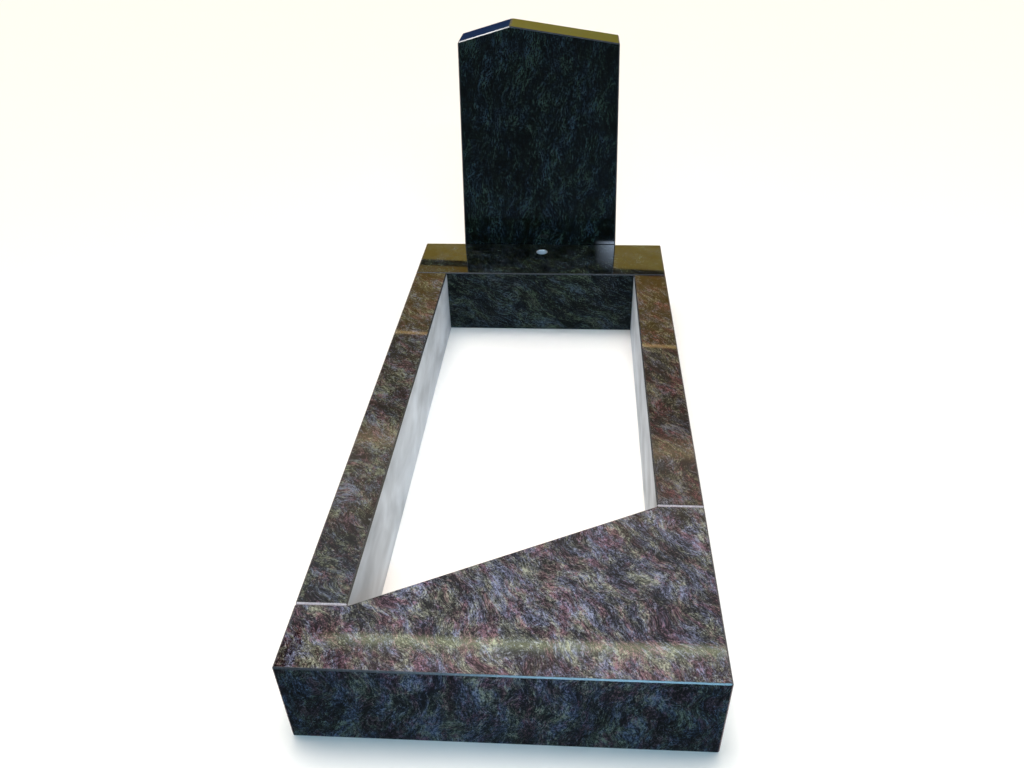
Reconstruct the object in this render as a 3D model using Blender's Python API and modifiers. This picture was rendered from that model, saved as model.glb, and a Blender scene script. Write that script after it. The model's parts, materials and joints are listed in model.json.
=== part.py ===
"""Kerbed memorial: five separate granite stones, in metres, +Z up, the front towards -Y.

A level frame of four stones lies on the ground: a front slab with a slanted inner edge, two side
kerbs and a head base with a drilled hole for a vase. The headstone stands on the same ground,
close behind the head base. The origin is on the ground, in the middle of the memorial's box.
"""

from math import radians

import bmesh
import bpy
from mathutils import Matrix, Vector

# Frame of four level stones
FRAME_WIDTH = 0.800
FRAME_LENGTH = 1.800
FRAME_HEIGHT = 0.200
KERB_WIDTH = 0.100
HEAD_BASE_DEPTH = 0.230
# The front slab is short beside the left kerb and long beside the right one
SLAB_LEFT_LENGTH = 0.150
SLAB_RIGHT_LENGTH = 0.456

# Headstone: a tapered slab whose two slopes meet left of its middle
HEADSTONE_THICKNESS = 0.120
HEADSTONE_FOOT_WIDTH = 0.525
HEADSTONE_SHOULDER_WIDTH = 0.482
LEFT_SHOULDER_HEIGHT = 0.834
RIGHT_SHOULDER_HEIGHT = 0.828
APEX_HEIGHT = 0.877
APEX_OFFSET = -0.084
HEADSTONE_SHIFT = -0.010

# Vase hole in the head base: its centre's distance from the back face, its width and depth
VASE_HOLE_SETBACK = 0.064
VASE_HOLE_DIAMETER = 0.036
VASE_HOLE_DEPTH = 0.100
VASE_HOLE_SIDES = 48

# Stonework: the flat ground along every arris, and the dry joint between two stones
ARRIS_CHAMFER = 0.003
DRY_JOINT = 0.0003

# Modelling: welding distance, angle under which two faces are one, overshoot of a cutter
WELD_DISTANCE = 0.00001
SAME_FACE_ANGLE = radians(0.5)
CUTTER_OVERSHOOT = 0.010

# Places that follow from the sizes
FRONT_Y = -(FRAME_LENGTH + DRY_JOINT + HEADSTONE_THICKNESS) / 2
HEAD_BASE_FRONT_Y = FRONT_Y + FRAME_LENGTH - HEAD_BASE_DEPTH
HEAD_BASE_BACK_Y = FRONT_Y + FRAME_LENGTH
SIDE_X = FRAME_WIDTH / 2
INNER_X = SIDE_X - KERB_WIDTH


def start_empty():
    """Clears the scene and makes one collection for the stones and one for the cutters."""
    for old in list(bpy.data.objects):
        bpy.data.objects.remove(old, do_unlink=True)
    stones = bpy.data.collections.new("kerbed_memorial")
    cutters = bpy.data.collections.new("kerbed_memorial_cutters")
    for collection in (stones, cutters):
        bpy.context.scene.collection.children.link(collection)
    middle = bpy.data.objects.new("memorial_origin", None)
    middle.empty_display_size = FRAME_HEIGHT
    stones.objects.link(middle)
    return stones, cutters, middle


def granite(name, colour, roughness):
    """A granite finish: dark where it is polished."""
    material = bpy.data.materials.new(name)
    material.use_nodes = True
    shader = material.node_tree.nodes["Principled BSDF"]
    shader.inputs["Base Color"].default_value = (*colour, 1.0)
    shader.inputs["Roughness"].default_value = roughness
    shader.inputs["Metallic"].default_value = 0.0
    material.diffuse_color = (*colour, 1.0)
    return material


def block_mesh(name, width, length, height):
    """A block standing on z = 0 with its plan centred on the origin."""
    bm = bmesh.new()
    bmesh.ops.create_cube(bm, size=1.0)
    bmesh.ops.scale(bm, vec=(width, length, height), verts=bm.verts)
    bmesh.ops.translate(bm, vec=(0, 0, height / 2), verts=bm.verts)
    mesh = bpy.data.meshes.new(name)
    bm.to_mesh(mesh)
    bm.free()
    return mesh


def outline_mesh(name, outline, thickness, turn):
    """A slab cut along a flat outline, which starts in the XY plane and is then turned."""
    curve = bpy.data.curves.new(name + "_outline", "CURVE")
    curve.dimensions = "2D"
    curve.fill_mode = "BOTH"
    curve.extrude = thickness / 2
    spline = curve.splines.new("POLY")
    spline.points.add(len(outline) - 1)
    for point, (x, y) in zip(spline.points, outline):
        point.co = (x, y, 0, 1)
    spline.use_cyclic_u = True
    drawn = bpy.data.objects.new(name + "_outline", curve)
    bpy.context.scene.collection.objects.link(drawn)
    depsgraph = bpy.context.evaluated_depsgraph_get()
    mesh = bpy.data.meshes.new_from_object(drawn.evaluated_get(depsgraph))
    mesh.name = name
    bpy.data.objects.remove(drawn, do_unlink=True)
    bpy.data.curves.remove(curve)

    bm = bmesh.new()
    bm.from_mesh(mesh)
    bmesh.ops.remove_doubles(bm, verts=bm.verts, dist=WELD_DISTANCE)
    bmesh.ops.dissolve_limit(bm, angle_limit=SAME_FACE_ANGLE, verts=bm.verts, edges=bm.edges)
    bmesh.ops.transform(bm, matrix=turn, verts=bm.verts)
    bmesh.ops.recalc_face_normals(bm, faces=bm.faces)
    bm.to_mesh(mesh)
    bm.free()
    mesh.materials.clear()
    return mesh


def chamfer_arrises(stone):
    """Grinds a small flat along every arris, but not along those that lie on the ground."""
    bm = bmesh.new()
    bm.from_mesh(stone.data)
    weight = bm.edges.layers.float.new("bevel_weight_edge")
    for edge in bm.edges:
        on_ground = all(vert.co.z < WELD_DISTANCE for vert in edge.verts)
        edge[weight] = 0.0 if on_ground else 1.0
    bm.to_mesh(stone.data)
    bm.free()
    bevel = stone.modifiers.new("arris chamfers", "BEVEL")
    bevel.width = ARRIS_CHAMFER
    bevel.segments = 1
    bevel.limit_method = "WEIGHT"
    bevel.use_clamp_overlap = True


def place_stone(name, mesh, location, collection, middle, colour, roughness):
    """Puts a stone where it lies, in its own finish and with its arrises chamfered."""
    stone = bpy.data.objects.new(name, mesh)
    stone.location = location
    stone.parent = middle
    collection.objects.link(stone)
    mesh.materials.append(granite(name + "_granite", colour, roughness))
    chamfer_arrises(stone)
    return stone


def make_front_slab(stones, middle):
    """The front slab: its inner edge slants from the left kerb's corner to the right kerb's."""
    outline = [
        (-SIDE_X, 0.0),
        (SIDE_X, 0.0),
        (SIDE_X, SLAB_RIGHT_LENGTH),
        (INNER_X, SLAB_RIGHT_LENGTH),
        (-INNER_X, SLAB_LEFT_LENGTH),
        (-SIDE_X, SLAB_LEFT_LENGTH),
    ]
    lift = Matrix.Translation((0, 0, FRAME_HEIGHT / 2))
    mesh = outline_mesh("front_slab", outline, FRAME_HEIGHT, lift)
    return place_stone(
        "front_slab", mesh, (0, FRONT_Y, 0), stones, middle, (0.052, 0.048, 0.055), 0.12
    )


def make_kerb(name, side, slab_length, stones, middle):
    """One side kerb, which fills the length between the front slab and the head base."""
    start_y = FRONT_Y + slab_length + DRY_JOINT
    end_y = HEAD_BASE_FRONT_Y - DRY_JOINT
    mesh = block_mesh(name, KERB_WIDTH, end_y - start_y, FRAME_HEIGHT)
    location = (side * (SIDE_X - KERB_WIDTH / 2), (start_y + end_y) / 2, 0)
    return place_stone(name, mesh, location, stones, middle, (0.055, 0.048, 0.044), 0.14)


def make_head_base(stones, cutters, middle):
    """The head base, with the vase hole drilled down from its top, centred on the frame."""
    mesh = block_mesh("head_base", FRAME_WIDTH, HEAD_BASE_DEPTH, FRAME_HEIGHT)
    location = (0, HEAD_BASE_BACK_Y - HEAD_BASE_DEPTH / 2, 0)
    base = place_stone(
        "head_base", mesh, location, stones, middle, (0.040, 0.038, 0.034), 0.10
    )

    bm = bmesh.new()
    bmesh.ops.create_cone(
        bm,
        cap_ends=True,
        segments=VASE_HOLE_SIDES,
        radius1=VASE_HOLE_DIAMETER / 2,
        radius2=VASE_HOLE_DIAMETER / 2,
        depth=VASE_HOLE_DEPTH + CUTTER_OVERSHOOT,
    )
    drill_mesh = bpy.data.meshes.new("vase_hole_cutter")
    bm.to_mesh(drill_mesh)
    bm.free()
    drill = bpy.data.objects.new("vase_hole_cutter", drill_mesh)
    drill_z = FRAME_HEIGHT - (VASE_HOLE_DEPTH - CUTTER_OVERSHOOT) / 2
    drill.location = Vector((0, HEAD_BASE_BACK_Y - VASE_HOLE_SETBACK, drill_z))
    drill.parent = middle
    drill.hide_render = True
    drill.display_type = "WIRE"
    cutters.objects.link(drill)

    cut = base.modifiers.new("vase hole", "BOOLEAN")
    cut.operation = "DIFFERENCE"
    cut.object = drill
    cut.solver = "EXACT"
    return base


def make_headstone(stones, middle):
    """The headstone, drawn from the front and turned upright, with its front face at y = 0."""
    foot = HEADSTONE_FOOT_WIDTH / 2
    shoulder = HEADSTONE_SHOULDER_WIDTH / 2
    outline = [
        (-foot, 0.0),
        (foot, 0.0),
        (shoulder, RIGHT_SHOULDER_HEIGHT),
        (APEX_OFFSET, APEX_HEIGHT),
        (-shoulder, LEFT_SHOULDER_HEIGHT),
    ]
    stand_up = Matrix.Rotation(radians(90), 4, "X")
    set_back = Matrix.Translation((0, HEADSTONE_THICKNESS / 2, 0))
    mesh = outline_mesh("headstone", outline, HEADSTONE_THICKNESS, set_back @ stand_up)
    location = (HEADSTONE_SHIFT, HEAD_BASE_BACK_Y + DRY_JOINT, 0)
    return place_stone(
        "headstone", mesh, location, stones, middle, (0.012, 0.014, 0.017), 0.08
    )


def make_memorial():
    stones, cutters, middle = start_empty()
    make_front_slab(stones, middle)
    make_kerb("left_kerb", -1, SLAB_LEFT_LENGTH, stones, middle)
    make_kerb("right_kerb", 1, SLAB_RIGHT_LENGTH, stones, middle)
    make_head_base(stones, cutters, middle)
    make_headstone(stones, middle)
    bpy.context.view_layer.update()


make_memorial()
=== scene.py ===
# %% [markdown]
# # A kerbed memorial of dark polished granite
#
# The real object is five separate stones. A front slab with a slanted inner edge, two side kerbs
# and a head base lie on the ground as a level frame, and an upright headstone with a low gable
# stands close behind them. Nothing moves, so every piece rides on the one body, `root`.
#
# Each stone is modelled again here as a mason would cut it: a sawn block is trimmed to its outline,
# a small flat is ground along each arris, and its faces are polished or left as the saw made them.
# All sizes come from the loaded frame, and the few that it doesn't give are named below.

# %% Load the fixed frame
import json
from math import radians

import bmesh
import bpy
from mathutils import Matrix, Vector


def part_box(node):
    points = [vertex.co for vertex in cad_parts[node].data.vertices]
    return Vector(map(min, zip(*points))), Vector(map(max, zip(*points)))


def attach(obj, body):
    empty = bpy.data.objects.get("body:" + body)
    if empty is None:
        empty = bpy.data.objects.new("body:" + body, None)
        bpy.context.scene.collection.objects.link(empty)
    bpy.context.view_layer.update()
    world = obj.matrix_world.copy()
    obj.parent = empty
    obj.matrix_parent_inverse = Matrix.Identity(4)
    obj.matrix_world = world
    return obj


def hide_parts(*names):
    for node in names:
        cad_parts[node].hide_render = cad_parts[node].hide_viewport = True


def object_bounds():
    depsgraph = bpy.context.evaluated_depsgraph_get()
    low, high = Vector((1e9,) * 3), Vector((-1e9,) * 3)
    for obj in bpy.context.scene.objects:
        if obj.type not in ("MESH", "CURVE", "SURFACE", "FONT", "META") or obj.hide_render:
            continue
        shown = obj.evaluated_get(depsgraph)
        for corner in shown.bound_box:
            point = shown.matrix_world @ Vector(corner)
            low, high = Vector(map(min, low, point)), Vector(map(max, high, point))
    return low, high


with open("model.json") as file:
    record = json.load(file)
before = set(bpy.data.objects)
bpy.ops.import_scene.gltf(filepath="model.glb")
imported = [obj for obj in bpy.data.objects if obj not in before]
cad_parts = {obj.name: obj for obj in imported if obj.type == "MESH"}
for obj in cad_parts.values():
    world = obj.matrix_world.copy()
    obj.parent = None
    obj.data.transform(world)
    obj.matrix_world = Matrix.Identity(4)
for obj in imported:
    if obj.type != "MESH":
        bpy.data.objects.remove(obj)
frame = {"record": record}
cad_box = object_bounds()
print("CAD box in metres:", cad_box)

# %% [markdown]
# ## The camera
#
# A camera could be aimed with a Track To constraint, but its place and turn are known here: they were
# worked out from the straight edges of the frame, as a surveyor would, with all sizes in metres. The
# small shift slides the picture on the sensor, because the memorial stands above the picture's middle.

# %% Place the camera
CAMERA_PLACE = (0.1182, -1.8590, 1.3823)
CAMERA_TURN_DEGREES = (52.364, 0.930, 3.241)
CAMERA_LENS_MM = 29.387
CAMERA_SHIFT = (-0.0147, 0.0670)

camera_data = bpy.data.cameras.new("viewing_camera")
camera_data.sensor_width = 36.0
camera_data.lens = CAMERA_LENS_MM
camera_data.shift_x, camera_data.shift_y = CAMERA_SHIFT
camera = bpy.data.objects.new("viewing_camera", camera_data)
camera.location = CAMERA_PLACE
camera.rotation_euler = [radians(angle) for angle in CAMERA_TURN_DEGREES]
bpy.context.scene.collection.objects.link(camera)
bpy.context.scene.camera = camera
print("camera height above the ground in metres:", CAMERA_PLACE[2])

# %% [markdown]
# ## Three small helpers
#
# Colours are chosen as sRGB hex values, as a paint chart gives them, but shaders work with linear
# light, so one function converts them. A second function adds any kind of node: its settings are
# keywords, and `inputs` maps a socket to a plain value or to the output that feeds it. A third one
# starts a material.

# %% Colour, node and material helpers
MIX_A, MIX_B, MIX_COLOUR = 6, 7, 2


def colour(hex_code):
    """Turns an sRGB colour such as "8d929b" into linear light with full opacity."""
    channels = [int(hex_code[start:start + 2], 16) / 255 for start in (0, 2, 4)]
    linear = [c / 12.92 if c <= 0.04045 else ((c + 0.055) / 1.055) ** 2.4 for c in channels]
    return (*linear, 1.0)


def add_node(tree, kind, inputs=None, **settings):
    """Adds one node with its settings, and gives each named input a value or a link."""
    node = tree.nodes.new(kind)
    for name, value in settings.items():
        setattr(node, name, value)
    for socket, value in (inputs or {}).items():
        if isinstance(value, bpy.types.NodeSocket):
            tree.links.new(value, node.inputs[socket])
        else:
            node.inputs[socket].default_value = value
    return node


def new_material(name):
    """A material whose tree holds only its output, ready for a shader of its own."""
    material = bpy.data.materials.new(name)
    material.use_nodes = True
    material.node_tree.nodes.clear()
    output = material.node_tree.nodes.new("ShaderNodeOutputMaterial")
    return material, material.node_tree, output


print("mid grey in linear light:", colour("808080")[0])

# %% [markdown]
# ## The floor
#
# A plain pale floor carries the memorial and bounces light onto its upright faces. It is painted, not
# glossy, so it shows soft shadows only. Polished stone is a mirror, and a mirror of a white floor would
# hide its dark colour, so the floor is left out of reflections with its ray visibility.
#
# The front of the slab should stay dark, as it does in a hall where nothing pale lies before it. A
# photographer would lay down a black card. Here the floor is laid in two pieces that meet at the slab's
# front, and the nearer piece gives no bounced light.

# %% Lay the floor
FLOOR_SPAN = 80.0
FRONT_LINE = cad_box[0].y

floor_paint, tree, output = new_material("matt_painted_floor")
paint = add_node(tree, "ShaderNodeBsdfPrincipled",
                 {"Base Color": colour("f3f1ee"), "Roughness": 0.9, "Specular IOR Level": 0.0})
tree.links.new(paint.outputs[0], output.inputs["Surface"])
for name, side, bounces_light in (("near_floor", -1, False), ("far_floor", 1, True)):
    bpy.ops.object.select_all(action="DESELECT")
    bpy.ops.mesh.primitive_plane_add(size=FLOOR_SPAN,
                                     location=(0, FRONT_LINE + side * FLOOR_SPAN / 2, 0))
    floor = bpy.context.object
    floor.name = name
    floor.visible_glossy = False
    floor.visible_diffuse = bounces_light
    floor.data.materials.append(floor_paint)
    print(name, "is a square with sides in metres of", floor.dimensions.x)

# %% [markdown]
# ## Studio light
#
# Level polished stone shows little of its own colour and mostly what hangs above it, so the ceiling is
# drawn with care. It lives in the world as bands, each with its height in degrees above the horizon,
# its brightness and its tone. A stone far from the camera mirrors the low bands and a near stone the
# high ones: warm bands for the head base and the kerbs' far ends, paler ones for the rest, a dark beam
# at 25 degrees and a bright stripe at 50. An image of a room would do the same, but bands are easier
# to move.

# %% Bands of the ceiling
# Degrees above the horizon, brightness and tone
CEILING_BANDS = [
    (0.0, 0.75, "ffe6e6"),
    (1.0, 0.14, "6f9cff"),
    (8.0, 0.16, "6f9cff"),
    (10.0, 0.42, "fff06a"),
    (20.0, 0.84, "ffde74"),
    (25.05, 0.88, "ffde70"),
    (25.60, 0.55, "ffd060"),
    (30.00, 0.44, "ffda80"),
    (30.15, 0.26, "ffe7ba"),
    (36.0, 0.29, "ffedcf"),
    (37.3, 1.60, "ffe5b5"),
    (37.6, 1.60, "ffe5b5"),
    (37.9, 0.70, "ffeed6"),
    (42.0, 0.70, "ffeed8"),
    (44.5, 0.52, "fbfbff"),
    (50.20, 0.52, "f3f3ff"),
    (50.50, 3.60, "f6ffd0"),
    (50.75, 3.60, "f6ffd4"),
    (51.10, 1.40, "fbffe8"),
    (51.50, 0.80, "ffebef"),
    (54.0, 0.96, "ffe9ec"),
    (60.0, 0.92, "ffeeea"),
]
BANDS_END = CEILING_BANDS[-1][0]
BRIGHTEST = max(brightness for degrees_up, brightness, tone in CEILING_BANDS)
print("ceiling bands:", len(CEILING_BANDS), "up to", BANDS_END, "degrees")

# %% [markdown]
# ## Measuring directions
#
# The world shader gives each direction of the sky its light. A direction's height is measured in
# degrees from the side of the memorial, so a band is mirrored as a straight line across the stones. The
# low bands lean a little, like lamps that hang askew: their height shifts with how far sideways a
# direction points, in metres to the right for each metre of depth.

# %% Measure directions
# Bands up to the first height lean fully, and those above the second one not at all
LEAN, FULL_LEAN_UP_TO, LEVEL_FROM = -2.0, 30.0, 45.0
WIDEST_SIDEWAYS = 0.5

world = bpy.data.worlds.new("studio_world")
bpy.context.scene.world = world
world.use_nodes = True
tree = world.node_tree
tree.nodes.clear()
direction = add_node(tree, "ShaderNodeTexCoord").outputs["Generated"]
parts = add_node(tree, "ShaderNodeSeparateXYZ", {0: direction})
depth = add_node(tree, "ShaderNodeMath", {0: parts.outputs["Y"]}, operation="ABSOLUTE")
height = add_node(tree, "ShaderNodeMath", {0: parts.outputs["Z"], 1: depth.outputs[0]},
                  operation="ARCTAN2")
degrees_high = add_node(tree, "ShaderNodeMath", {0: height.outputs[0]}, operation="DEGREES")
aside = add_node(tree, "ShaderNodeMath", {0: parts.outputs["X"], 1: depth.outputs[0]},
                 operation="DIVIDE")
sideways = add_node(tree, "ShaderNodeClamp",
                    {0: aside.outputs[0], 1: -WIDEST_SIDEWAYS, 2: WIDEST_SIDEWAYS})
lean = add_node(tree, "ShaderNodeMapRange",
                {0: degrees_high.outputs[0], 1: FULL_LEAN_UP_TO, 2: LEVEL_FROM, 3: LEAN, 4: 0.0})
leaning = add_node(tree, "ShaderNodeMath",
                   {0: sideways.outputs[0], 1: lean.outputs[0], 2: degrees_high.outputs[0]},
                   operation="MULTIPLY_ADD")
print("the low bands lean, in degrees for each metre sideways, by", LEAN)

# %% [markdown]
# ## Painting the bands
#
# A colour ramp gives each height its band. It blurs anything narrower than half a degree, so the dark
# beam and a thin bright tube get a Compare node each, which is one inside the band and zero elsewhere.

# %% Paint the bands
# Degrees above the horizon, half the width in degrees, brightness and tone
THIN_BANDS = [
    (25.29, 0.20, 0.05, "ffe7bc"),
    (30.08, 0.10, 2.2, "ffd890"),
]
place_on_ramp = add_node(tree, "ShaderNodeMath", {0: leaning.outputs[0], 1: BANDS_END},
                         operation="DIVIDE")
bands = add_node(tree, "ShaderNodeValToRGB", {0: place_on_ramp.outputs[0]})
ramp = bands.color_ramp
for degrees_up, brightness, tone in CEILING_BANDS[1:-1]:
    ramp.elements.new(degrees_up / BANDS_END)
for element, (degrees_up, brightness, tone) in zip(ramp.elements, CEILING_BANDS):
    element.position = degrees_up / BANDS_END
    element.color = [channel * brightness / BRIGHTEST for channel in colour(tone)]
light = bands.outputs["Color"]
for degrees_up, half_width, brightness, tone in THIN_BANDS:
    inside = add_node(tree, "ShaderNodeMath",
                      {0: leaning.outputs[0], 1: degrees_up, 2: half_width},
                      operation="COMPARE").outputs[0]
    band_light = [channel * brightness / BRIGHTEST for channel in colour(tone)]
    light = add_node(tree, "ShaderNodeMix", {0: inside, MIX_A: light, MIX_B: band_light},
                     data_type="RGBA").outputs[MIX_COLOUR]
print("thin bands:", len(THIN_BANDS))

# %% [markdown]
# ## The dim parts of the room
#
# A real hall isn't lit evenly. A narrow sector high up on the left is dark here, so the bright stripe
# fades towards the slab's left end. The near half of the room, behind the camera, is dim and cool, which
# keeps the upright faces dark.

# %% Dim a sector and the near half
# The unlit sector: its middle sideways, how far from it the light is gone and full, and degrees up
UNLIT_MIDDLE, UNLIT_REACH, UNLIT_UP, UNLIT_TONE = -0.56, (0.07, 0.18), (49.5, 50.3), "402622"
NEAR_HALF_TONE, HALVES_BLEND = "526a74", 0.1

from_middle = add_node(tree, "ShaderNodeMath", {0: aside.outputs[0], 1: UNLIT_MIDDLE},
                       operation="SUBTRACT")
away = add_node(tree, "ShaderNodeMath", {0: from_middle.outputs[0]}, operation="ABSOLUTE")
in_sector = add_node(tree, "ShaderNodeMapRange",
                     {0: away.outputs[0], 1: UNLIT_REACH[0], 2: UNLIT_REACH[1], 3: 1.0, 4: 0.0})
high_up = add_node(tree, "ShaderNodeMapRange",
                   {0: degrees_high.outputs[0], 1: UNLIT_UP[0], 2: UNLIT_UP[1]})
unlit = add_node(tree, "ShaderNodeMath", {0: in_sector.outputs[0], 1: high_up.outputs[0]},
                 operation="MULTIPLY")
light = add_node(tree, "ShaderNodeMix",
                 {0: unlit.outputs[0], MIX_A: light, MIX_B: colour(UNLIT_TONE)},
                 data_type="RGBA").outputs[MIX_COLOUR]
half = add_node(tree, "ShaderNodeMapRange",
                {0: parts.outputs["Y"], 1: -HALVES_BLEND, 2: HALVES_BLEND})
half_tone = add_node(tree, "ShaderNodeMix",
                     {0: half.outputs[0], MIX_A: colour(NEAR_HALF_TONE), MIX_B: colour("ffffff")},
                     data_type="RGBA").outputs[MIX_COLOUR]
both_halves = add_node(tree, "ShaderNodeVectorMath", {0: light, 1: half_tone},
                       operation="MULTIPLY").outputs[0]
print("unlit sector in degrees up:", UNLIT_UP)

# %% [markdown]
# ## A backdrop for the camera
#
# Rays that go straight from the camera to the sky get a plain pale backdrop, and all others the bands.
# The Light Path node tells them apart, so the bands show in the stones and never behind them.

# %% Add the backdrop
BACKDROP_TONE = "f7f7f6"

ceiling = add_node(tree, "ShaderNodeBackground", {"Color": both_halves, "Strength": BRIGHTEST})
backdrop = add_node(tree, "ShaderNodeBackground", {"Color": colour(BACKDROP_TONE), "Strength": 1.0})
seen = add_node(tree, "ShaderNodeLightPath").outputs["Is Camera Ray"]
sky = add_node(tree, "ShaderNodeMixShader",
               {0: seen, 1: ceiling.outputs[0], 2: backdrop.outputs[0]})
add_node(tree, "ShaderNodeOutputWorld", {"Surface": sky.outputs[0]})
print("nodes in the world:", len(tree.nodes))

# %% [markdown]
# ## Six lamps
#
# A broad soft light from high above does most of the work. It is a sun lamp with a wide disc, because an
# area lamp would leave the far floor dim. A round light hangs over the front slab, so that the near
# stones are brighter than the far ones, and a narrow spot low in front reaches into the plot and up the
# headstone. A long cool tube far behind the camera lights the upright faces.
#
# A lamp would show as a hard shape in polished stone, so three of them are hidden from reflections. The
# gleam lamp is the other way round: it lights nothing, and only draws a bright line along the front of
# the headstone's left slope. The corner lamp beside the camera is mirrored twice, by the headstone and
# the stone before it, and leaves a glow in their corner.

# %% Hang the lamps
# Name, kind, place, target, strength, tone, other settings, and the ray visibility it goes without
LAMPS = [
    ("broad_light", "SUN", (-0.08, 0.32, 0.94), (0, 0, 0), 2.6, "fffaf2",
     {"angle": radians(40)}, "visible_glossy"),
    ("overhead_light", "AREA", (0.10, -0.75, 1.90), (0.10, -0.75, 0.20), 12.0, "fff8f4",
     {"shape": "DISK", "size": 0.8}, "visible_glossy"),
    ("low_spot", "AREA", (0.00, -2.30, 0.75), (0.00, 0.61, 0.10), 1.1, "dcebff",
     {"shape": "DISK", "size": 0.3, "spread": radians(32)}, "visible_glossy"),
    ("tube_light", "AREA", (0.90, -5.50, 3.70), (0.20, -0.96, 0.20), 155.0, "98d6f8",
     {"shape": "RECTANGLE", "size": 3.0, "size_y": 0.15}, ""),
    ("gleam_lamp", "AREA", (-1.40, 0.40, 3.40), (-0.10, 0.84, 0.85), 60.0, "ffffff",
     {"shape": "DISK", "size": 1.0}, "visible_diffuse"),
    ("corner_lamp", "AREA", (0.31, -2.00, 1.53), (0.31, 0.80, 0.00), 5.5, "cfe4ff",
     {"shape": "SQUARE", "size": 0.2}, ""),
]


def hang_lamp(name, kind, place, towards, strength, tone, settings, hidden_from):
    """Adds a lamp that shines from one place towards another and isn't itself seen."""
    data = bpy.data.lights.new(name, kind)
    data.energy = strength
    data.color = colour(tone)[:3]
    for setting, value in settings.items():
        setattr(data, setting, value)
    lamp = bpy.data.objects.new(name, data)
    lamp.location = place
    aim = Vector(towards) - Vector(place)
    lamp.rotation_euler = aim.to_track_quat("-Z", "Y").to_euler()
    lamp.visible_camera = False
    if hidden_from:
        setattr(lamp, hidden_from, False)
    bpy.context.scene.collection.objects.link(lamp)


for lamp_settings in LAMPS:
    hang_lamp(*lamp_settings)
bpy.context.scene.view_settings.view_transform = "Standard"
print("lamps:", len(LAMPS))

# %% [markdown]
# ## Fading the corner lamp
#
# A bare square lamp would be mirrored as a bare square. Two Map Range nodes read the place on the lamp
# in metres and dim it to the left and upwards. A softbox has the same fall-off, because its bulb is
# nearer to one corner.

# %% Fade the corner lamp
FADE_LEFT = (0.24, 0.36)
FADE_UP = (1.61, 1.45)

corner_data = bpy.data.lights["corner_lamp"]
corner_data.use_nodes = True
tree = corner_data.node_tree
on_lamp = add_node(tree, "ShaderNodeNewGeometry").outputs["Position"]
parts = add_node(tree, "ShaderNodeSeparateXYZ", {0: on_lamp})
to_left = add_node(tree, "ShaderNodeMapRange",
                   {0: parts.outputs["X"], 1: FADE_LEFT[0], 2: FADE_LEFT[1]}).outputs[0]
upwards = add_node(tree, "ShaderNodeMapRange",
                   {0: parts.outputs["Z"], 1: FADE_UP[0], 2: FADE_UP[1]}).outputs[0]
fade = add_node(tree, "ShaderNodeMath", {0: to_left, 1: upwards}, operation="MULTIPLY").outputs[0]
tree.links.new(fade, tree.nodes["Emission"].inputs["Strength"])
print("corner lamp fades over metres:", FADE_LEFT, FADE_UP)

# %% [markdown]
# ## The pattern of the granite
#
# The stone is a dark, strongly foliated granite. Pale feldspar, grey quartz, dark mica and maroon garnet
# lie in it as small flecks, gather into paler and darker clouds, and are drawn out into strands and fine
# hairs that flow and swirl.
#
# A photograph of granite as an image texture would be one way. A solid pattern is better for a cut
# block: it is noise in three dimensions, squeezed flat along the bedding, so that every strand runs
# through the stone and meets at every arris. A slow swirl bends the bedding first. The sizes are those
# of the real stone, and its finest mica, below a millimetre, is drawn as flecks of two millimetres,
# because anything finer is smaller than a pixel.

# %% Layers of the pattern
# Sizes in metres: twice along the bedding, and once across it
GRAIN_SIZE = (0.0110, 0.0080, 0.0050)
FLECK_SIZE = (0.0034, 0.0028, 0.0020)
CLOUD_SIZE = (0.120, 0.090, 0.045)
TINT_SIZE = (0.080, 0.060, 0.030)
STRAND_SIZE = (0.070, 0.045, 0.016)
HAIR_SIZE = (0.030, 0.018, 0.0055)
SWIRL_SPAN, SWIRL_REACH = 0.150, 0.095
# Name, size, octaves of detail and how strong the finer octaves are
LAYERS = [
    ("grain", GRAIN_SIZE, 2.0, 0.9),
    ("fleck", FLECK_SIZE, 1.0, 0.8),
    ("cloud", CLOUD_SIZE, 3.0, 0.8),
    ("blue", TINT_SIZE, 5.0, 0.85),
    ("rust", TINT_SIZE, 5.0, 0.85),
    ("pale strand", STRAND_SIZE, 2.0, 0.6),
    ("dark strand", STRAND_SIZE, 2.0, 0.6),
    ("pale hair", HAIR_SIZE, 1.0, 0.5),
    ("dark hair", HAIR_SIZE, 1.0, 0.5),
]
UP = Vector((0, 0, 1))


def granite_pattern(tree, bedding, part_of_block):
    """The layers of one stone, each a noise between 0 and 1 with its middle at one half."""
    place = add_node(tree, "ShaderNodeTexCoord").outputs["Object"]
    turn = Vector(bedding).rotation_difference(UP).to_euler()
    block = add_node(tree, "ShaderNodeMapping",
                     {"Vector": place, "Rotation": turn, "Location": part_of_block})
    swirl = add_node(tree, "ShaderNodeTexNoise",
                     {"Vector": block.outputs[0], "Scale": 1 / SWIRL_SPAN, "Detail": 2.0})
    flow = add_node(tree, "ShaderNodeVectorMath",
                    {0: swirl.outputs["Color"], 1: (SWIRL_REACH,) * 3, 2: block.outputs[0]},
                    operation="MULTIPLY_ADD").outputs[0]
    patterns = {}
    for seed, (name, size, detail, roughness) in enumerate(LAYERS):
        squeezed = add_node(tree, "ShaderNodeMapping",
                            {"Vector": flow, "Scale": [1 / length for length in size]})
        noise = add_node(tree, "ShaderNodeTexNoise",
                         {"Vector": squeezed.outputs[0], "W": float(seed), "Scale": 1.0,
                          "Detail": detail, "Roughness": roughness},
                         noise_dimensions="4D")
        patterns[name] = noise.outputs[0]
    return patterns


print("finest fleck in millimetres:", FLECK_SIZE[2] * 1000)

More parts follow.
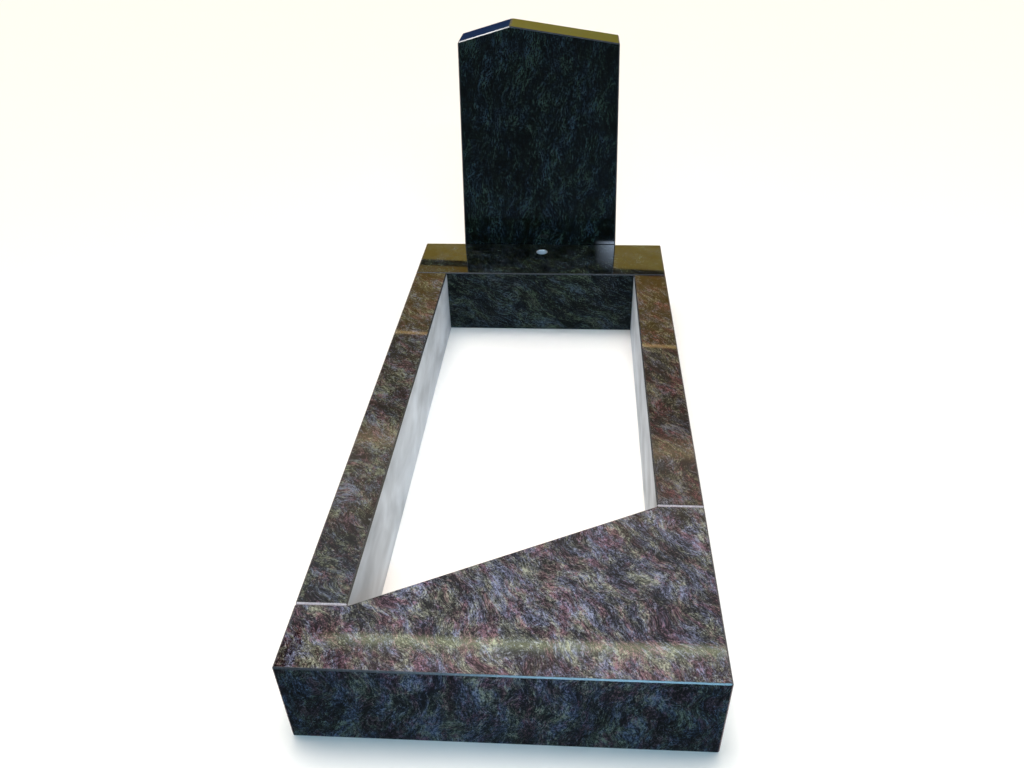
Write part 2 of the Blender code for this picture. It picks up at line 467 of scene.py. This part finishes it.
# %% [markdown]
# ## From the pattern to polished granite
#
# Grain, flecks and clouds are added up with their shares. A strand or a hair runs where its noise
# crosses one half, so the distance from one half gives thin curved lines. The sum picks a mineral from a
# ramp that goes from black mica to pale feldspar, and two slow noises tint it blue, olive or maroon.
#
# Fine diamond abrasives leave the face as smooth as glass: the colour looks deep and the surface is a
# clear mirror. That is a roughness close to zero and the refractive index of feldspar.

# %% Polished finish
GRANITE_IOR = 1.55
# Roughness of the best and the least polished grains
POLISH = (0.01, 0.03)
PATTERN_SHARES = {"grain": 1.4, "fleck": 1.3, "cloud": 1.9}
LINE_SHARES = {"pale strand": 0.24, "dark strand": -0.24, "pale hair": 0.34, "dark hair": -0.28}
LINE_THINNESS = 0.024
MIDDLE_TONE = 0.53
MINERALS = [
    (0.00, "030304"),
    (0.25, "16171a"),
    (0.50, "3c3e42"),
    (0.75, "64676c"),
    (1.00, "90949a"),
]
OLIVE_TINT, BLUE_TINT, RUST_TINT = "f8fcd2", "d8e2ff", "d8929c"
# Where on its noise a tint starts and is full, and the grain that polishes well and badly
BLUE_SPAN, RUST_SPAN, GRAIN_SPAN = (0.44, 0.56), (0.48, 0.57), (0.4, 0.6)


def mineral_mix(tree, patterns):
    """Adds up the layers, and turns the sum into the colour of a mineral."""
    total = MIDDLE_TONE - 0.5 * sum(PATTERN_SHARES.values())
    for pattern, share in PATTERN_SHARES.items():
        total = add_node(tree, "ShaderNodeMath", {0: patterns[pattern], 1: share, 2: total},
                         operation="MULTIPLY_ADD").outputs[0]
    for pattern, share in LINE_SHARES.items():
        crossing = add_node(tree, "ShaderNodeMath", {0: patterns[pattern], 1: 0.5},
                            operation="SUBTRACT").outputs[0]
        distance = add_node(tree, "ShaderNodeMath", {0: crossing}, operation="ABSOLUTE").outputs[0]
        line = add_node(tree, "ShaderNodeMapRange",
                        {0: distance, 1: 0.0, 2: LINE_THINNESS, 3: share, 4: 0.0}).outputs[0]
        total = add_node(tree, "ShaderNodeMath", {0: total, 1: line}).outputs[0]
    minerals = add_node(tree, "ShaderNodeValToRGB", {0: total})
    ramp = minerals.color_ramp
    for position, mineral in MINERALS[1:-1]:
        ramp.elements.new(position)
    for element, (position, mineral) in zip(ramp.elements, MINERALS):
        element.position = position
        element.color = colour(mineral)
    return minerals.outputs["Color"]


def tinted_with(tree, patterns, minerals, tone, rust_share):
    """Tints the minerals blue, olive or maroon, then all of them with the stone's tone of painted shade
    and light.
    """
    blueness = add_node(tree, "ShaderNodeMapRange",
                        {0: patterns["blue"], 1: BLUE_SPAN[0], 2: BLUE_SPAN[1]}).outputs[0]
    rustiness = add_node(tree, "ShaderNodeMapRange",
                         {0: patterns["rust"], 1: RUST_SPAN[0], 2: RUST_SPAN[1],
                          4: rust_share}).outputs[0]
    cool = add_node(tree, "ShaderNodeMix",
                    {0: blueness, MIX_A: colour(OLIVE_TINT), MIX_B: colour(BLUE_TINT)},
                    data_type="RGBA").outputs[MIX_COLOUR]
    tint = add_node(tree, "ShaderNodeMix",
                    {0: rustiness, MIX_A: cool, MIX_B: colour(RUST_TINT)},
                    data_type="RGBA").outputs[MIX_COLOUR]
    stained = add_node(tree, "ShaderNodeVectorMath", {0: minerals, 1: tint},
                       operation="MULTIPLY").outputs[0]
    # The tone paints shade and the tint of the light over the whole stone
    return add_node(tree, "ShaderNodeVectorMath", {0: stained, 1: colour(tone)[:3]},
                    operation="MULTIPLY").outputs[0]


def polished_granite(name, bedding, part_of_block, tone, rust_share):
    """Dark granite, ground and polished: deep colour under a clear mirror gloss."""
    material, tree, output = new_material(name)
    patterns = granite_pattern(tree, bedding, part_of_block)
    base = tinted_with(tree, patterns, mineral_mix(tree, patterns), tone, rust_share)
    # The softer minerals polish a little less, so the mirror is faintly uneven
    polish = add_node(tree, "ShaderNodeMapRange",
                      {0: patterns["grain"], 1: GRAIN_SPAN[0], 2: GRAIN_SPAN[1],
                       3: POLISH[0], 4: POLISH[1]}).outputs[0]
    shader = add_node(tree, "ShaderNodeBsdfPrincipled",
                      {"Base Color": base, "Roughness": polish, "IOR": GRANITE_IOR})
    tree.links.new(shader.outputs[0], output.inputs["Surface"])
    return material


print("minerals on the ramp:", len(MINERALS))

# %% [markdown]
# ## Five stones from one quarry
#
# All five stones are cut from blocks of the same granite, but each in its own direction, so their
# strands run differently. One material for all would let the strands run on from stone to stone, which
# real joints never show. Each stone's tone is painted shade: the kerbs are darker than the slab, and the
# head base and the headstone, which get the least light, are the darkest. The tones also paint the tint
# of the light, warmer on the right kerb and cool on the headstone.

# %% Choose the five blocks
# Direction across the bedding, part of the block in metres, tone as painted shade and tint of light, and
# share of maroon
STONE_CUTS_AND_SHADES = {
    "front_slab": ((0.82, 0.57, -0.16), (0.0, 0.0, 0.0), "fff8fc", 0.8),
    "left_kerb": ((0.62, 0.58, 0.53), (3.1, 0.7, 0.2), "cfcec8", 0.8),
    "right_kerb": ((0.86, 0.50, 0.10), (5.3, 1.9, 0.8), "d2c3b6", 1.0),
    "head_base": ((0.42, 0.30, 0.83), (7.7, 3.2, 1.4), "7b8880", 0.3),
    "headstone": ((0.98, 0.30, -0.16), (9.1, 4.4, 2.6), "50696a", 0.2),
}
polished = {}
for stone, cut in STONE_CUTS_AND_SHADES.items():
    polished[stone] = polished_granite("polished_granite_" + stone, *cut)
print("polished finishes:", len(polished))

# %% [markdown]
# ## Ground and sawn finishes
#
# A mason eases each arris to a small flat and hones it. A face that nobody sees in use is left as the
# diamond saw made it: pale grey, because countless small scratches scatter the light, with soft streaks
# where the blade ran lengthwise. A drilled wall and a coarsely ground arris are pale for that reason.
#
# The streaks could be painted on the faces, but noise that is stretched lengthwise gives them in one
# step for every face. Real saw lines lie half a millimetre apart, too fine to show, so they are drawn
# four millimetres apart.

# %% Ground and sawn finishes
MINERAL_GRAIN = 0.003
GRAIN_CONTRAST = (0.7, 1.3)
# Size in metres across, along and up, and octaves of detail: broad streaks, then single saw lines
SAW_MARKS = [((0.050, 0.180, 0.090), 3.0), ((0.0040, 0.060, 0.0040), 2.0)]
SAW_WAVINESS, SAW_LINE_DEPTH = 0.4, 0.0001
# Nearly all of a noise lies between these values
NOISE_SPAN = (0.3, 0.7)


def ground_granite(name, tone, roughness):
    """Stone that is ground but not polished through: the grain shows only as a faint mottle."""
    material, tree, output = new_material(name)
    place = add_node(tree, "ShaderNodeTexCoord").outputs["Object"]
    grain = add_node(tree, "ShaderNodeTexNoise",
                     {"Vector": place, "Scale": 1 / MINERAL_GRAIN, "Detail": 2.0}).outputs[0]
    lightness = add_node(tree, "ShaderNodeMapRange",
                         {0: grain, 1: NOISE_SPAN[0], 2: NOISE_SPAN[1],
                          3: GRAIN_CONTRAST[0], 4: GRAIN_CONTRAST[1]}).outputs[0]
    minerals = add_node(tree, "ShaderNodeVectorMath", {0: colour(tone)[:3], 3: lightness},
                        operation="SCALE").outputs[0]
    shader = add_node(tree, "ShaderNodeBsdfPrincipled",
                      {"Base Color": minerals, "Roughness": roughness, "IOR": GRANITE_IOR})
    tree.links.new(shader.outputs[0], output.inputs["Surface"])
    return material


def sawn_granite(name, dark, pale):
    """A face as the diamond saw left it: pale, matt, and streaked along the blade's run."""
    material, tree, output = new_material(name)
    place = add_node(tree, "ShaderNodeTexCoord").outputs["Object"]
    marks = []
    for size, detail in SAW_MARKS:
        drawn_out = add_node(tree, "ShaderNodeMapping",
                             {"Vector": place, "Scale": [1 / length for length in size]})
        marks.append(add_node(tree, "ShaderNodeTexNoise",
                              {"Vector": drawn_out.outputs[0], "Scale": 1.0, "Detail": detail,
                               "Distortion": SAW_WAVINESS}).outputs[0])
    streak = add_node(tree, "ShaderNodeMapRange",
                      {0: marks[0], 1: NOISE_SPAN[0], 2: NOISE_SPAN[1]}).outputs[0]
    stone = add_node(tree, "ShaderNodeMix", {0: streak, MIX_A: colour(dark), MIX_B: colour(pale)},
                     data_type="RGBA").outputs[MIX_COLOUR]
    scores = add_node(tree, "ShaderNodeBump",
                      {"Strength": 0.5, "Distance": SAW_LINE_DEPTH, "Height": marks[1]})
    shader = add_node(tree, "ShaderNodeBsdfPrincipled",
                      {"Base Color": stone, "Roughness": 0.75, "IOR": GRANITE_IOR,
                       "Normal": scores.outputs[0]})
    tree.links.new(shader.outputs[0], output.inputs["Surface"])
    return material


# Honed: still dark, but it shines over a wider angle, so an arris shows as a thin line
eased_finish = ground_granite("honed_granite", "34363b", 0.25)
# Coarsely ground: its scratches scatter the light, so an arris shows as a pale line
raw_finish = ground_granite("coarse_ground_granite", "b2a6aa", 0.6)
# Sawn: pale and matt, so it doesn't mirror anything
sawn_finish = sawn_granite("sawn_granite", "a9b1b8", "d9e1e9")
print("plain finishes:", eased_finish.name, raw_finish.name, sawn_finish.name)

# %% [markdown]
# ## Tools for cutting a stone
#
# Each stone starts as a cube primitive of the size of its box, in edit mode. Faces, edges and corners
# are then picked in code by their place or the way they face, and shaped with edit-mode operators.
# The Bevel modifier could chamfer the arrises too, but the operator works only on the edges that are
# picked, and it can give the new faces a finish of their own.

# %% Start, pick and grind
ARRIS_CHAMFER = 0.003
ARRIS_SOFTENING = 0.0004
TINY = 0.00005
SAME_FACE, SHARP_CORNER, ROUND_WALL = radians(0.5), radians(5), radians(10)
# How much of a face's normal points along an axis: roughly along it, squarely along it, or aslant
FACING, SQUARE_ON, ASLANT = 0.5, 0.99, 0.3
# The slots that hold a stone's finishes, with the polish in slot 0, which a new face gets
EASED, RAW, SAWN = 1, 2, 3


def start_stone(node, low, high):
    """Adds a cube over a box, with the four finishes of its stone, and opens it in edit mode."""
    bpy.ops.object.select_all(action="DESELECT")
    bpy.ops.mesh.primitive_cube_add(size=1.0, location=(low + high) / 2, scale=high - low)
    bpy.ops.object.transform_apply(location=True, rotation=True, scale=True)
    stone = bpy.context.object
    stone.name = "dressed_" + node
    stone.data.name = stone.name
    for finish in (polished[node], eased_finish, raw_finish, sawn_finish):
        stone.data.materials.append(finish)
    bpy.ops.object.mode_set(mode="EDIT")
    bpy.ops.mesh.select_all(action="DESELECT")
    return stone


def pick(kind, test):
    """Selects only the corners (VERT), edges (EDGE) or faces (FACE) that pass a test."""
    bpy.ops.mesh.select_mode(type=kind)
    bpy.ops.mesh.select_all(action="DESELECT")
    mesh = bpy.context.edit_object.data
    bm = bmesh.from_edit_mesh(mesh)
    elements = {"VERT": bm.verts, "EDGE": bm.edges, "FACE": bm.faces}[kind]
    chosen = [element for element in elements if test(element)]
    for element in chosen:
        element.select_set(True)
    bm.select_flush_mode()
    bmesh.update_edit_mesh(mesh)
    return len(chosen)


def give_finish(slot_number, test):
    """Gives the faces that pass a test one of the stone's finishes."""
    pick("FACE", test)
    bpy.context.object.active_material_index = slot_number
    bpy.ops.object.material_slot_assign()


def is_arris(edge):
    """True where two faces meet at a corner above the ground."""
    above_ground = any(vert.co.z > TINY for vert in edge.verts)
    return above_ground and edge.calc_face_angle(0.0) > SHARP_CORNER


def grind_arrises():
    """Merges what is flat, then grinds a flat along each arris and takes off its sharp corners."""
    bpy.ops.mesh.select_all(action="SELECT")
    bpy.ops.mesh.dissolve_limited(angle_limit=SAME_FACE)
    count = pick("EDGE", is_arris)
    bpy.ops.mesh.bevel(offset=ARRIS_CHAMFER, segments=1, affect="EDGES", material=EASED)
    pick("EDGE", is_arris)
    bpy.ops.mesh.bevel(offset=ARRIS_SOFTENING, segments=2, affect="EDGES", material=EASED)
    print("arrises ground:", count)


def finish_stone(stone, node):
    """Leaves edit mode, smooths only the round walls, and hands the stone over to the frame."""
    bpy.ops.mesh.select_all(action="DESELECT")
    bpy.ops.object.mode_set(mode="OBJECT")
    bpy.ops.object.shade_smooth_by_angle(angle=ROUND_WALL)
    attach(stone, "root")
    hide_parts(node)
    print(stone.name, "has", len(stone.data.polygons), "faces")


# %% [markdown]
# ## The front slab
#
# The slab is 0.15 m long beside the left kerb and three times that beside the right one. A mason saws
# a rectangle and trims it along the slant, then polishes the slanted face too, because it shows above
# the planting. Only the ends that the kerbs hide are left as sawn.
#
# Here the short rectangle comes first: two bisect cuts in line with the kerbs' inner faces part its
# back edge, and the corners right of them are moved back, which draws the slant. An extrusion would
# leave a step there instead. The slab's ends lie a hair's breadth from the kerbs, as in a dry joint.

# %% Cut the front slab
DRY_JOINT = 0.0003
low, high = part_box("front_slab")
kerb_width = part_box("left_kerb")[1].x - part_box("left_kerb")[0].x
slab_short_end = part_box("left_kerb")[0].y - DRY_JOINT
long_end_shift = high.y - slab_short_end
inner_left, inner_right = low.x + kerb_width, high.x - kerb_width

slab = start_stone("front_slab", low, Vector((high.x, slab_short_end, high.z)))
for cut_x in (inner_left, inner_right):
    bpy.ops.mesh.select_all(action="SELECT")
    bpy.ops.mesh.bisect(plane_co=(cut_x, 0, 0), plane_no=(1, 0, 0))
pick("VERT", lambda vert: vert.co.x > inner_right - TINY and vert.co.y > slab_short_end - TINY)
bpy.ops.transform.translate(value=(0, long_end_shift, 0))
give_finish(SAWN, lambda face: face.normal.y > SQUARE_ON or face.normal.z < -FACING)
grind_arrises()
finish_stone(slab, "front_slab")

# %% [markdown]
# ## The two side kerbs
#
# A kerb is a plain bar of stone, so its finish tells the story. Its top and outer side are polished,
# while its inner face, both ends and its underside stay as the saw left them, because soil and the
# other stones hide them in use. The arris at the slab's joint is ground coarsely and shows as a pale
# line. One loop cuts both kerbs, each from its own box.

# %% Cut the side kerbs
for node, inward in (("left_kerb", 1), ("right_kerb", -1)):
    low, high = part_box(node)
    kerb = start_stone(node, low, high)
    give_finish(SAWN, lambda face: face.normal.x * inward > FACING
                or abs(face.normal.y) > FACING or face.normal.z < -FACING)
    grind_arrises()
    give_finish(RAW, lambda face: face.normal.y < -ASLANT and face.normal.z > ASLANT)
    finish_stone(kerb, node)

# %% [markdown]
# ## What the mirrors show
#
# The pale sawn faces would be mirrored as grey streaks in the dark headstone. A photographer turns the
# stone or the camera a little until such a streak is gone. Here the slab and the kerbs are left out of
# reflections by their ray visibility, so only the head base and the headstone mirror each other.

# %% Leave three stones out of reflections
UNMIRRORED = ("dressed_front_slab", "dressed_left_kerb", "dressed_right_kerb")
for name in UNMIRRORED:
    bpy.data.objects[name].visible_glossy = False
print("left out of reflections:", *UNMIRRORED)

# %% [markdown]
# ## The head base and its vase hole
#
# The head base lies across the back, polished where it shows between the kerbs. A core drill makes the
# hole for a vase. A Boolean modifier with a cylinder for the core is the plain way to do the same: it
# is applied, the core is thrown away, and the rim gets a small flat like the other arrises. The depth
# is a usual one for a vase with a plastic insert.

# %% Cut the head base
HOLE_SIDES = 96
HOLE_WIDTH, HOLE_DEPTH = 0.036, 0.100
RIM_CHAMFER = 0.0010
OVERSHOOT = 0.010
hole_low, hole_high = [Vector(corner) for opening in frame["record"]["physics"]["openings"]
                       if opening["name"] == "vase_hole" for corner in opening["box_m"]]
hole_middle = (hole_low + hole_high) / 2
low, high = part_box("head_base")
hole_floor = high.z - HOLE_DEPTH

base = start_stone("head_base", low, high)
give_finish(SAWN, lambda face: face.normal.y > FACING or face.normal.z < -FACING)
grind_arrises()
bpy.ops.object.mode_set(mode="OBJECT")
bpy.ops.object.select_all(action="DESELECT")
core_high = high.z + OVERSHOOT
bpy.ops.mesh.primitive_cylinder_add(
    vertices=HOLE_SIDES, radius=HOLE_WIDTH / 2, depth=core_high - hole_floor,
    location=(hole_middle.x, hole_middle.y, (core_high + hole_floor) / 2))
core = bpy.context.object
bpy.context.view_layer.objects.active = base
drilling = base.modifiers.new("vase hole", "BOOLEAN")
drilling.object = core
drilling.solver = "EXACT"
bpy.ops.object.modifier_apply(modifier=drilling.name)
bpy.data.objects.remove(core, do_unlink=True)
base.select_set(True)
bpy.ops.object.mode_set(mode="EDIT")


def in_hole(vert):
    """True for a corner on the wall of the hole."""
    return (vert.co.xy - hole_middle.xy).length < HOLE_WIDTH / 2 + TINY


give_finish(SAWN, lambda face: all(in_hole(vert) for vert in face.verts))
pick("EDGE", lambda edge: all(in_hole(vert) and vert.co.z > high.z - TINY for vert in edge.verts))
bpy.ops.mesh.bevel(offset=RIM_CHAMFER, segments=2, affect="EDGES", material=RAW)
finish_stone(base, "head_base")

# %% [markdown]
# ## The headstone
#
# The headstone is a thick slab that narrows a little towards its shoulders, with a low gable whose
# apex is left of the middle. Its front, back, sides and slopes are all polished. It is drawn here as a
# mason marks it out: a rectangle up to the left shoulder is narrowed at its top, cut once at the line
# of the apex, and raised there to its height.

# %% Cut the headstone
SHOULDER_WIDTH = 0.482
LEFT_SHOULDER, RIGHT_SHOULDER = 0.834, 0.828
APEX_LEFT_OF_MIDDLE = 0.084
low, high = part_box("headstone")
middle_x = (low.x + high.x) / 2
apex_x = middle_x - APEX_LEFT_OF_MIDDLE
foot_width = high.x - low.x

headstone = start_stone("headstone", low, Vector((high.x, high.y, LEFT_SHOULDER)))
for side in (-1, 1):
    narrowing = -side * (foot_width - SHOULDER_WIDTH) / 2
    pick("VERT", lambda vert: vert.co.z > LEFT_SHOULDER - TINY and side * (vert.co.x - middle_x) > 0)
    bpy.ops.transform.translate(value=(narrowing, 0, 0))
pick("VERT", lambda vert: vert.co.z > LEFT_SHOULDER - TINY and vert.co.x > middle_x)
bpy.ops.transform.translate(value=(0, 0, RIGHT_SHOULDER - LEFT_SHOULDER))
bpy.ops.mesh.select_all(action="SELECT")
bpy.ops.mesh.bisect(plane_co=(apex_x, 0, 0), plane_no=(1, 0, 0))
pick("VERT", lambda vert: abs(vert.co.x - apex_x) < TINY and vert.co.z > RIGHT_SHOULDER)
top_now = max(vert.co.z for vert in bmesh.from_edit_mesh(headstone.data).verts if vert.select)
bpy.ops.transform.translate(value=(0, 0, high.z - top_now))
give_finish(SAWN, lambda face: face.normal.z < -FACING)
grind_arrises()
finish_stone(headstone, "headstone")
